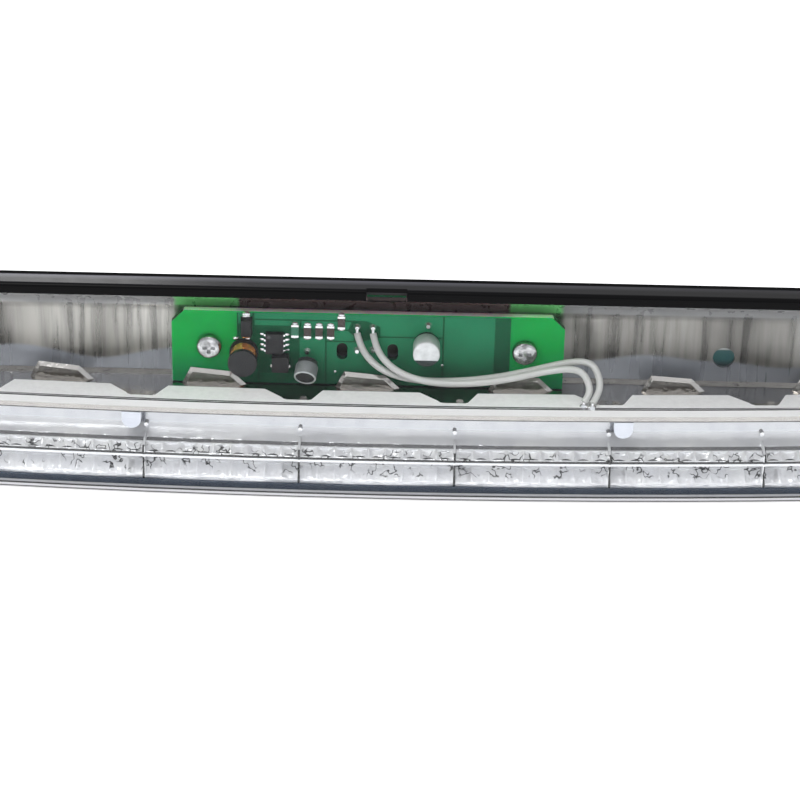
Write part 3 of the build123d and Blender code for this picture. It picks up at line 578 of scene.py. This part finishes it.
def bright_chrome():
    """Metallised bank: bright flutes, dark joints, a smoother bowl, bare white undersides, painted
    shade lines under the deck's edge, under the rib's crest and along the bowl's foot, and painted
    hanger shadows on the bowl.
    """
    made = new_material("bright_chrome", grey(0.95), 0.07, 1.0)
    height = axis_of(made, "object", 2)
    along = axis_of(made, "object", 0)
    levels = span_mm(made, height, 0.0, DECK_LOW)
    zones = span_mm(made, height, BOWL_LOW, DECK_LOW)

    def by_height(stops):
        """Tones by height in millimetres, up to the deck."""
        return ramp(made, levels, [(z / DECK_LOW, tone) for z, tone in stops])

    half = CELL_PITCH / 2
    fold = calculate(made, "PINGPONG", along, half * MM)
    joint = span_mm(made, fold, half - 0.3, half - 0.24)
    seams = by_height([
        (0.0, 0.06), (RIB_LOW - SEAM, 0.06), (RIB_LOW, 1.0), (RIB_HIGH, 1.0),
        (RIB_HIGH + SEAM, 0.06), (BOWL_LOW, 0.06), (BOWL_LOW + 5 * SEAM, 1.0),
    ])
    jointed = blend_colors(made, joint, grey(1.0), seams)
    # painted shade: a dark line just below the deck's edge; above it the deck's own beige tint
    edge = span_mm(made, height, DECK_LOW - 0.3, DECK_LOW + 0.3)
    deck_tint_and_shade_line = ramp(made, edge, [(0.0, 1.0), (0.1, 0.12), (0.8, 0.12), (1.0, srgb(192, 188, 182))])
    # painted shade: a dark line under the rib's crest
    crest = span_mm(made, height, RIB_HIGH - 0.5, RIB_HIGH + 0.1)
    crest_shade_line = ramp(made, crest, [(0.0, 1.0), (0.2, 0.08), (0.9, 0.08), (1.0, 1.0)])
    marked = multiply(made, jointed, multiply(made, deck_tint_and_shade_line, crest_shade_line))

    rows = by_height(list(zip(LOWER_ROW + UPPER_ROW, (0.0, 1.0, 1.0, 0.0) * 2)))
    gaps = ramp(made, add_noise(made, 230, 0.0), [(0.47, 0.0), (0.53, 1.0)])
    strokes = ramp(made, add_noise(made, 560, 1.0, (1, 1, 0.45), 0.5), [
        (0.43, 1.0), (0.46, 0.1), (0.49, 0.1), (0.52, 1.0),
    ])
    where = multiply(made, rows, gaps)
    stroked = blend_colors(made, where, marked, strokes, None, "MULTIPLY")
    # painted shade: a dark line along the bowl's foot, over the dark strokes of the flute rows
    ledge_shade_line = by_height(list(zip(LEDGE, (1.0, 0.2, 0.2, 1.0))))
    stroked_and_ledge_shaded = multiply(made, stroked, ledge_shade_line)

    # painted shadow: the bowl is darkened bluish beside each hanger
    away = calculate(made, "ABSOLUTE", along)
    near = calculate(made, "COMPARE", away, HANGER_X * MM, HANGER_REACH * MM)
    shadow = (0.70, 0.72, 0.77)
    bowl_only = ramp(made, zones, [(0.3, 1.0), (0.34, shadow), (0.96, shadow), (1.0, 1.0)])
    hanger_shadowed = blend_colors(made, near, stroked_and_ledge_shaded, bowl_only, None, "MULTIPLY")
    haze = add_noise(made, 240)
    silver = ramp(made, haze, [(0.35, srgb(246, 246, 248)), (0.65, srgb(255, 255, 255))])
    multiply(made, silver, hanger_shadowed, "Base Color")

    down = span(made, axis_of(made, "normal", 2), -0.5, -0.3)
    coated = ramp(made, down, [(0.0, 0.0), (1.0, 1.0)])
    top = LED_BOARD_TOP + 0.1
    bowl = BOWL_LOW / top
    deck = DECK_LOW / top
    thin = ramp(made, span_mm(made, height, 0.0, top), [
        (bowl, 0.35), (bowl + 0.11, 0.45), (bowl + 0.13, 0.85), (deck - 0.01, 0.85),
        (deck, 1.0), (0.98, 1.0), (1.0, 0.8),
    ])
    multiply(made, coated, thin, "Metallic")
    ramp(made, zones, [(0.0, 0.08), (0.04, 0.18), (0.96, 0.18), (1.0, 0.1)], "Roughness")
    relief = ramp(made, zones, [(0.0, 0.9), (0.04, 0.05), (0.96, 0.05), (1.0, 0.25)])
    add_bump(made, add_noise(made, 480, 4.0), relief, 0.6 * MM)
    return made


def white_mask():
    """White solder mask on the LED board's faces, plain edges, and a painted shade line along its
    front.
    """
    made = new_material("white_mask", srgb(230, 229, 227), 0.42)
    grain = add_noise(made, 900)
    face = ramp(made, grain, [(0.3, srgb(226, 225, 223)), (0.7, srgb(234, 233, 231))])
    # painted shade: a dark line along the board's front edge
    low, high = (LED_BOARD_SET + width for width in LED_BORDER)
    front_edge_span = span_mm(made, behind_front(made), low, high)
    face_with_shade_line = blend_colors(made, front_edge_span, srgb(46, 46, 48), face)
    facing = span(made, axis_of(made, "normal", 2), 0.3, 0.7)
    blend_colors(made, facing, srgb(220, 219, 216), face_with_shade_line, "Base Color")
    add_bump(made, grain, 0.04, GRAIN_DEPTH)
    return made


def green_board():
    """Bare laminate under green mask, with painted shade darkening it towards the foot, and a pale
    sawn edge along the top, brightened as painted light.
    """
    made = new_material("green_board", srgb(24, 172, 76), 0.4)
    shader = shader_of(made)
    shader.inputs["Specular IOR Level"].default_value = MASK_SPECULAR
    shader.inputs["Subsurface Weight"].default_value = 0.8
    shader.inputs["Subsurface Radius"].default_value = (0.6, 4.0, 1.2)
    shader.inputs["Subsurface Scale"].default_value = MM
    height = axis_of(made, "object", 2)
    weave = add_noise(made, 500)
    grain = ramp(made, weave, [(0.3, 0.92), (0.7, 1.0)])
    rise = span_mm(made, height, BOARD_LOW.z, BOARD_HIGH.z)
    # painted shade: the mask darkens towards the board's foot
    depth = ramp(made, rise, [
        (0.1, srgb(24, 128, 76)), (0.55, srgb(22, 172, 78)), (1.0, srgb(34, 188, 90)),
    ])
    face = multiply(made, depth, grain)
    away = calculate(made, "ABSOLUTE", axis_of(made, "normal", 1))
    share = span(made, away, 0.4, 0.6)
    # painted light: the sawn top edge, pale in its own right, is brightened further where the rim
    # shades it
    high = span_mm(made, height, BOARD_HIGH.z - 0.4, BOARD_HIGH.z - 0.2)
    edge = ramp(made, high, [(0.0, srgb(20, 62, 44)), (1.0, srgb(240, 250, 225))])
    blend_colors(made, share, edge, face, "Base Color")
    ramp(made, weave, [(0.3, 0.34), (0.7, 0.46)], "Roughness")
    add_bump(made, add_noise(made, 1400), 0.05, GRAIN_DEPTH)
    return made


def masked_copper(name, low_color, high_color):
    """Green mask over copper, with painted shade darkening it towards the foot of the board."""
    made = new_material(name, high_color, 0.36)
    shader_of(made).inputs["Specular IOR Level"].default_value = MASK_SPECULAR
    height = span_mm(made, axis_of(made, "object", 2), BOARD_LOW.z, BOARD_HIGH.z)
    mottle = add_noise(made, 260)
    # painted shade: darker towards the board's foot
    depth = ramp(made, height, [(0.1, low_color), (0.9, high_color)])
    shade = ramp(made, mottle, [(0.3, 0.88), (0.7, 1.0)])
    multiply(made, depth, shade, "Base Color")
    ramp(made, mottle, [(0.3, 0.3), (0.7, 0.42)], "Roughness")
    add_bump(made, add_noise(made, 1400), 0.05, GRAIN_DEPTH)
    return made


def plug_rubber():
    """Dark green rubber, with a painted highlight along its top where the hole's edge lights it,
    and painted shade at its foot.
    """
    rubber = srgb(24, 84, 84)
    made = finish("plug_rubber", srgb(24, 80, 80), 0.5)
    low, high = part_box("hole_plug")
    middle = (low.z + high.z) / 2 / MM
    height = axis_of(made, "object", 2)
    rise = span_mm(made, height, middle - PLUG_RADIUS, middle + PLUG_RADIUS)
    # painted shade at the plug's foot and a painted highlight along its top
    ramp(made, rise, [
        (0.1, srgb(10, 40, 42)), (0.35, rubber), (0.8, rubber), (0.86, srgb(196, 200, 196)),
    ], "Base Color")
    return made


def dress_shells():
    """Materials of the housing, lens and reflectors."""
    paint("rear_housing", black_moulding())
    paint("outer_lens", clear_moulding())
    nodes["outer_lens"].visible_shadow = False
    paint("back_reflector", streaked_chrome())
    paint("reflector_bank", bright_chrome())
    paint("led_board", white_mask())
    paint("driver_board", green_board())


def dress_small_parts():
    """Materials of the CAD nodes that keep their own shape."""
    steel = finish("bright_zinc", grey(0.46), 0.14, 1.0, 700.0, 0.5, 0.5)
    ferrite = finish("ferrite", srgb(22, 22, 24), 0.55, scale=1200.0)
    epoxy = finish("epoxy", srgb(18, 18, 20), 0.5, scale=1500.0)
    rubber = finish("rubber", srgb(44, 44, 46), 0.65)
    paint("lens_seal", rubber)
    paint("vent_cap", rubber)
    paint("hole_plug", plug_rubber())
    paint("leds", finish("led_package", srgb(238, 236, 222), 0.35))
    paint("board_screws", steel)
    paint("reflector_screws", steel)
    paint("inductor_core", ferrite)
    paint("filter_choke", ferrite)
    paint("driver_chip", epoxy)
    paint("rectifier_diode", epoxy)
    paint("chip_leads", finish("tinned_leads", grey(0.82), 0.16, 1.0, 1500.0))
    paint("diode_feet", finish("tinned_feet", grey(0.82), 0.16, 1.0, 1500.0))
    paint("solder_joints", finish("solder", grey(0.85), 0.14, 1.0, 1500.0, 0.08, 0.3))
    paint("chip_resistors", finish("resistor_body", srgb(66, 54, 48), 0.4, scale=1500.0))
    paint("ceramic_capacitor", finish("ceramic_body", srgb(50, 122, 92), 0.45, scale=1500.0))
    paint("supply_lead_a", finish("red_lead", srgb(170, 30, 26), 0.45))
    paint("supply_lead_b", finish("black_lead", srgb(40, 40, 42), 0.45))
    paint("socket_pins", finish("tinned_brass", (0.72, 0.66, 0.5), 0.25, 1.0))
    paint("mount_inserts", finish("turned_brass", (0.72, 0.5, 0.2), 0.28, 1.0))


def add_cord(node, made):
    """White lead on a smooth spline through the route of its CAD node."""
    data = bpy.data.curves.new(node + "_cord", "CURVE")
    data.dimensions = "3D"
    data.bevel_depth = LEAD_RADIUS * MM
    data.bevel_resolution = 6
    data.resolution_u = 12
    data.use_fill_caps = True
    spline = data.splines.new("NURBS")
    points = [Vector((x, FRONT_Y + back, z)) * MM for x, back, z in LEAD_ROUTES[node]]
    spline.points.add(len(points) - 1)
    for point, place in zip(spline.points, points):
        point.co = (*place, 1.0)
    spline.order_u = 3
    spline.use_endpoint_u = True
    data.materials.append(made)
    cord = bpy.data.objects.new(node + "_cord", data)
    bpy.context.scene.collection.objects.link(cord)
    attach(cord, "root")
    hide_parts(node)


def add_strands():
    """Tinned ends of the leads, in their solder joints."""
    bm = bmesh.new()
    for route in LEAD_ROUTES.values():
        first = Vector((route[0][0], FRONT_Y + route[0][1], route[0][2]))
        last = Vector((route[-1][0], FRONT_Y + route[-1][1], route[-1][2]))
        pad = Vector((first.x, BOARD_FACE - LEAD_PAD_RISE, LEAD_PAD_Z))
        foot = Vector((last.x, last.y, LED_BOARD_TOP + LED_PAD_RISE))
        rod(bm, pad * MM, (first + (first - pad) * STRAND_LAP) * MM, STRAND_RADIUS * MM)
        rod(bm, foot * MM, (last + (last - foot) * STRAND_LAP) * MM, STRAND_RADIUS * MM)
    add_piece("lead_strands", bm, "solder_tin", finish("strand_tin", grey(0.82), 0.2, 1.0, 1500.0))


def add_copper():
    """Copper field and pours under the mask, in the middle of the driver board."""
    top = BOARD_HIGH.z - FIELD_EDGE
    low = BOARD_LOW.z + FIELD_FOOT
    wide, tall = SLOT_REACH
    turns = [math.pi * i / 8 for i in range(9)]
    cap = [(wide * math.cos(turn), tall - wide + wide * math.sin(turn)) for turn in turns]
    ring = [*cap, *[(-x, -z) for x, z in cap]]
    cuts = [[(x + across, z + up) for across, up in ring] for x, z in SLOT_SPOTS]
    field = [(FIELD_LEFT, low), (FIELD_RIGHT, low), (FIELD_RIGHT, top), (FIELD_LEFT, top)]
    deep = masked_copper("mask_gaps", srgb(22, 66, 46), srgb(32, 104, 70))
    sheet("copper_field", [field, *cuts], 0.0, FIELD_LIFT, "pcb_green", deep)
    brown = finish("bare_copper_side", srgb(168, 116, 88), 0.5, scale=400.0)
    sheet("copper_back", [field, *cuts], -BOARD_T - FIELD_LIFT, -BOARD_T, "pcb_green", brown)
    pours = [
        [
            (-27.5, 36.0), (-3.0, 36.0), (0.2, 34.6), (0.2, 32.3), (13.9, 32.3), (13.9, top),
            (-27.5, top),
        ],
        [(-31.1, 34.7), (-28.0, 34.7), (-28.0, top), (-31.1, top)],
        [(-27.5, 34.4), (-17.6, 34.4), (-17.6, 35.6), (-27.5, 35.6)],
        [(-17.2, 33.8), (-6.8, 33.8), (-6.2, 35.6), (-17.2, 35.6)],
        [(-11.6, 31.0), (-5.7, 31.0), (-5.7, 32.2), (-6.9, 33.4), (-11.6, 33.4)],
        [(14.3, low), (POUR_RIGHT, low), (POUR_RIGHT, top), (14.3, top)],
        [(-11.6, low), (13.9, low), (13.9, 31.9), (0.6, 31.9), (-5.3, 30.6), (-11.6, 30.6)],
        [
            (-26.5, low), (-12.0, low), (-12.0, 31.6), (-17.6, 31.6), (-17.6, 22.6),
            (-26.5, 22.6),
        ],
        [(-31.1, low), (-26.9, low), (-26.9, 23.6), (-31.1, 23.6)],
    ]
    teal = masked_copper("mask_pours", srgb(30, 86, 60), srgb(52, 152, 106))
    sheet("copper_pours", [*pours, *cuts], 0.0, POUR_LIFT, "pcb_green", teal)


def add_chip_ends():
    """Tinned end caps and solder of the chip resistors and the ceramic capacitor."""
    tin = finish("end_tin", grey(0.86), 0.16, 1.0, 1500.0, 0.08, 0.3)
    bm = bmesh.new()
    wide, tall = CHIP_PART_SIZE
    for x, z, height in CHIP_PARTS:
        for side in (-1, 1):
            end = z + side * (tall / 2 - CHIP_CAP_SET)
            block(bm, (x, end), (wide + 0.08, CHIP_CAP), 0.0, height + CHIP_CAP_SKIN, 0.06)
            mound(bm, (x, z + side * (tall / 2 + 0.1)), wide * 0.52, height * 0.9, 0.7)
    add_piece("chip_part_ends", bm, "solder_tin", tin)


def add_solder():
    """Solder at the feet of the chip, the diode, the choke and the inductor, and two vias."""
    tin = finish("foot_solder", grey(0.86), 0.14, 1.0, 1500.0, 0.08, 0.3)
    bm = bmesh.new()
    for side in (-1, 1):
        for row in range(4):
            foot_z = CHIP_AT[1] + (row - 1.5) * CHIP_FOOT_PITCH
            mound(bm, (CHIP_AT[0] + side * CHIP_FEET, foot_z), 0.34, 0.3, 0.8)
        mound(bm, (DIODE_AT[0], DIODE_AT[1] + side * DIODE_FEET), 1.05, 0.7, 0.7)
        mound(bm, (CHOKE_FOOT_AT[0] + side * CHOKE_FEET, CHOKE_FOOT_AT[1]), 0.5, 0.5)
        inductor_foot = (INDUCTOR_FOOT_AT[0] + side * INDUCTOR_FEET, INDUCTOR_FOOT_AT[1])
        mound(bm, inductor_foot, 0.75, 0.7, 0.7)
    for via in VIAS:
        mound(bm, via, VIA_RADIUS, 0.12)
    add_piece("part_solder", bm, "solder_tin", tin)


def add_input_capacitor():
    """Grey sleeved can that leans on its bent wires, with a rolled rim round a dark end."""
    sleeve = finish("grey_sleeve", srgb(112, 116, 116), 0.32)
    dark = finish("can_end", srgb(34, 37, 37), 0.45)
    light = finish("rolled_rim", srgb(186, 190, 188), 0.3)
    place = SMALL_CAN_AT
    bm = bmesh.new()
    lathe(bm, place, [(2.1, 0.0), (2.2, 0.5), (2.24, 1.2)], material=1, ends=(True, False))
    side = [(2.24, 1.2), (2.48, 1.3), (2.5, 1.5), (2.5, 4.0), (2.44, 4.2)]
    lathe(bm, place, side, ends=(False, False))
    rim = [(2.44, 4.2), (2.36, 4.34), (2.22, 4.4), (2.1, 4.35), (2.06, 4.2)]
    lathe(bm, place, rim, material=2, ends=(False, False))
    lathe(bm, place, [(2.06, 4.2), (2.02, 3.95), (0.3, 3.9)], material=1, ends=(False, True))
    bmesh.ops.remove_doubles(bm, verts=bm.verts, dist=WELD)
    droop = Matrix.Rotation(math.radians(SMALL_CAN_DROOP), 4, "X")
    swing = Matrix.Rotation(math.radians(-SMALL_CAN_SWING), 4, "Z")
    seat = Matrix.Translation(on_board(*place, SMALL_CAN_LIFT))
    lean = seat @ swing @ droop @ Matrix.Translation(-on_board(*place, 0.0))
    bmesh.ops.transform(bm, matrix=lean, verts=bm.verts)
    for x in (place[0] - 1.0, place[0] + 1.0):
        foot = on_board(x, place[1], 0.0)
        rod(bm, foot, on_board(x, place[1], SMALL_CAN_LIFT + 0.6), 0.3 * MM)
    piece = add_piece("input_can", bm, "can_grey", sleeve, dark, light)
    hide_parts("input_capacitor")


def add_output_capacitor():
    """Bare bright can with a white end and a dark polarity segment."""
    bare = finish("bare_can", srgb(206, 212, 208), 0.42, 0.4, 400.0)
    white = finish("white_end", srgb(218, 220, 219), 0.4)
    dark = finish("polarity_ink", srgb(34, 46, 42), 0.5)
    radius = LARGE_CAN_RADIUS
    tall = LARGE_CAN_HEIGHT
    flat = LARGE_CAN_FACE
    place = LARGE_CAN_AT
    bm = bmesh.new()
    lathe(bm, place, [(2.6, 0.0), (2.65, 0.9), (2.7, 1.2)], material=2, ends=(True, False))
    lathe(bm, place, [(2.7, 1.2), (radius, 1.5), (radius, 5.9)], ends=(False, False))
    end = [(radius, 5.9), (2.86, 6.1), (flat, tall), (0.3, tall)]
    lathe(bm, place, end, material=1, ends=(False, True))
    bmesh.ops.remove_doubles(bm, verts=bm.verts, dist=WELD)
    chord = place[1] - LARGE_CAN_CHORD
    for face in bm.faces:
        centre = face.calc_center_median() / MM
        if face.material_index == 1 and centre.y > BOARD_FACE - tall + 0.01 and centre.z < chord:
            face.material_index = 2
    start = math.radians(210)
    sweep = math.radians(120)
    steps = 16
    arc = [start + sweep * i / steps for i in range(steps + 1)]
    segment = [(place[0] + flat * math.cos(turn), place[1] + flat * math.sin(turn)) for turn in arc]
    plate(bm, segment, tall - 0.02, tall + 0.01, material=2)
    piece = add_piece("output_can", bm, "can_silver", bare, white, dark)
    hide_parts("output_capacitor")


def add_winding():
    """Turns of enamelled wire on the drum inductor."""
    copper = finish("enamelled_copper", (0.78, 0.34, 0.12), 0.25, 1.0, 900.0, 0.2)
    low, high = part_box("inductor_winding")
    middle = (low + high) / 2
    wire = WINDING_WIRE
    steps = 28
    reach = (high.x - low.x) / 2 / MM - wire
    room = (high.y - low.y) / MM - 2 * wire
    turns = int(room / (2 * wire))
    bm = bmesh.new()
    rings = []
    for i in range(turns * steps + 1):
        turn = 2 * math.pi * i / steps
        depth = low.y / MM + wire + room * i / (turns * steps)
        outward = Vector((math.cos(turn), 0, math.sin(turn)))
        centre = Vector((middle.x / MM, depth, middle.z / MM)) + outward * reach
        ring = []
        for angle in full_turn(8):
            offset = outward * math.cos(angle) + Vector((0, math.sin(angle), 0))
            ring.append(bm.verts.new((centre + wire * offset) * MM))
        rings.append(ring)
    bridge(bm, rings)
    bm.faces.new(rings[0])
    bm.faces.new(rings[-1])
    near = BOARD_FACE - high.y / MM
    far = BOARD_FACE - low.y / MM
    core = [(2.0, near), (reach, near), (reach, far), (2.0, far)]
    lathe(bm, (middle.x / MM, middle.z / MM), core)
    piece = add_piece("inductor_turns", bm, "copper_wire", copper)
    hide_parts("inductor_winding")


def add_chip_mark():
    """Moulded pin-one dimple of the driver chip."""
    bm = bmesh.new()
    rises = [(0.42, 0.0), (0.4, 0.015), (0.3, 0.005), (0.05, 0.0)]
    lathe(bm, CHIP_MARK_AT, [(radius, CHIP_FACE + rise) for radius, rise in rises], 24)
    add_piece("chip_dimple", bm, "chip_black", finish("dimple", srgb(70, 70, 72), 0.3))


def build_stage():
    """White floor, and a pale studio that is a little brighter above and behind."""
    bpy.ops.mesh.primitive_plane_add(size=FLOOR_SIZE, location=(0, 0, -FLOOR_DROP))
    floor = bpy.context.object
    floor.name = "floor"
    made = new_material("floor_white", grey(0.95), 0.9)
    tree = made.node_tree
    path = tree.nodes.new("ShaderNodeLightPath")
    seen = path.outputs["Is Camera Ray"]
    for kind in ("Is Glossy Ray", "Is Transmission Ray"):
        seen = calculate(made, "ADD", seen, path.outputs[kind])
    glow = tree.nodes.new("ShaderNodeMapRange")
    glow.inputs["To Max"].default_value = FLOOR_GLOW
    tree.links.new(seen, glow.inputs["Value"])
    tree.links.new(glow.outputs["Result"], shader_of(made).inputs["Emission Strength"])
    shader_of(made).inputs["Emission Color"].default_value = (1.0, 1.0, 1.0, 1.0)
    floor.data.materials.append(made)

    world = bpy.data.worlds.new("studio")
    bpy.context.scene.world = world
    world.use_nodes = True
    tree = world.node_tree
    place = tree.nodes.new("ShaderNodeTexCoord")
    rise = tree.nodes.new("ShaderNodeVectorMath")
    rise.operation = "DOT_PRODUCT"
    rise.inputs[1].default_value = (0.0, 0.5, 1.0)
    fade = tree.nodes.new("ShaderNodeMapRange")
    fade.inputs["From Min"].default_value = STUDIO_LOW
    fade.inputs["From Max"].default_value = STUDIO_HIGH
    colors = tree.nodes.new("ShaderNodeValToRGB")
    tall = STUDIO_HIGH - STUDIO_LOW
    fill_ramp(colors, [((height - STUDIO_LOW) / tall, color) for height, color in STUDIO])
    tree.links.new(place.outputs["Generated"], rise.inputs[0])
    tree.links.new(rise.outputs["Value"], fade.inputs["Value"])
    tree.links.new(fade.outputs["Result"], colors.inputs["Fac"])
    tree.links.new(colors.outputs["Color"], tree.nodes["Background"].inputs["Color"])


def add_area(name, place, aim, size, power):
    """Soft lamp that faces a point."""
    data = bpy.data.lights.new(name, "AREA")
    data.shape = "RECTANGLE"
    data.size, data.size_y = size
    data.energy = power
    lamp = bpy.data.objects.new(name, data)
    bpy.context.scene.collection.objects.link(lamp)
    lamp.location = place
    lamp.rotation_euler = (Vector(aim) - Vector(place)).to_track_quat("-Z", "Y").to_euler()


def build_camera():
    """Camera at the photograph's angle, framed so that a pixel covers the same size."""
    data = bpy.data.cameras.new("camera")
    data.lens = LENS_MM
    data.sensor_width = SENSOR_MM
    camera = bpy.data.objects.new("camera", data)
    bpy.context.scene.collection.objects.link(camera)
    target = Vector((TARGET_X, FRONT_Y + TARGET_BACK, TARGET_Z)) * MM
    reach = IMAGE_SIZE * MM_PER_PIXEL * MM * LENS_MM / SENSOR_MM
    lift = math.radians(CAMERA_ELEVATION)
    away = Vector((0, -math.cos(lift), math.sin(lift)))
    camera.location = target + away * reach
    turn = (-away).to_track_quat("-Z", "Y").to_matrix().to_4x4()
    roll = Matrix.Rotation(math.radians(CAMERA_ROLL), 4, "Z")
    camera.rotation_euler = (turn @ roll).to_euler()
    bpy.context.scene.camera = camera


dress_shells()
dress_small_parts()
white_lead = finish("white_lead", srgb(188, 188, 184), 0.42, scale=500.0, tint=0.04)
for node in LEAD_ROUTES:
    add_cord(node, white_lead)
add_strands()
add_copper()
add_chip_ends()
add_solder()
add_input_capacitor()
add_output_capacitor()
add_winding()
add_chip_mark()
build_stage()
for name, lamp in LAMPS.items():
    add_area(name, *lamp)
build_camera()
bpy.context.scene.view_settings.view_transform = "Standard"
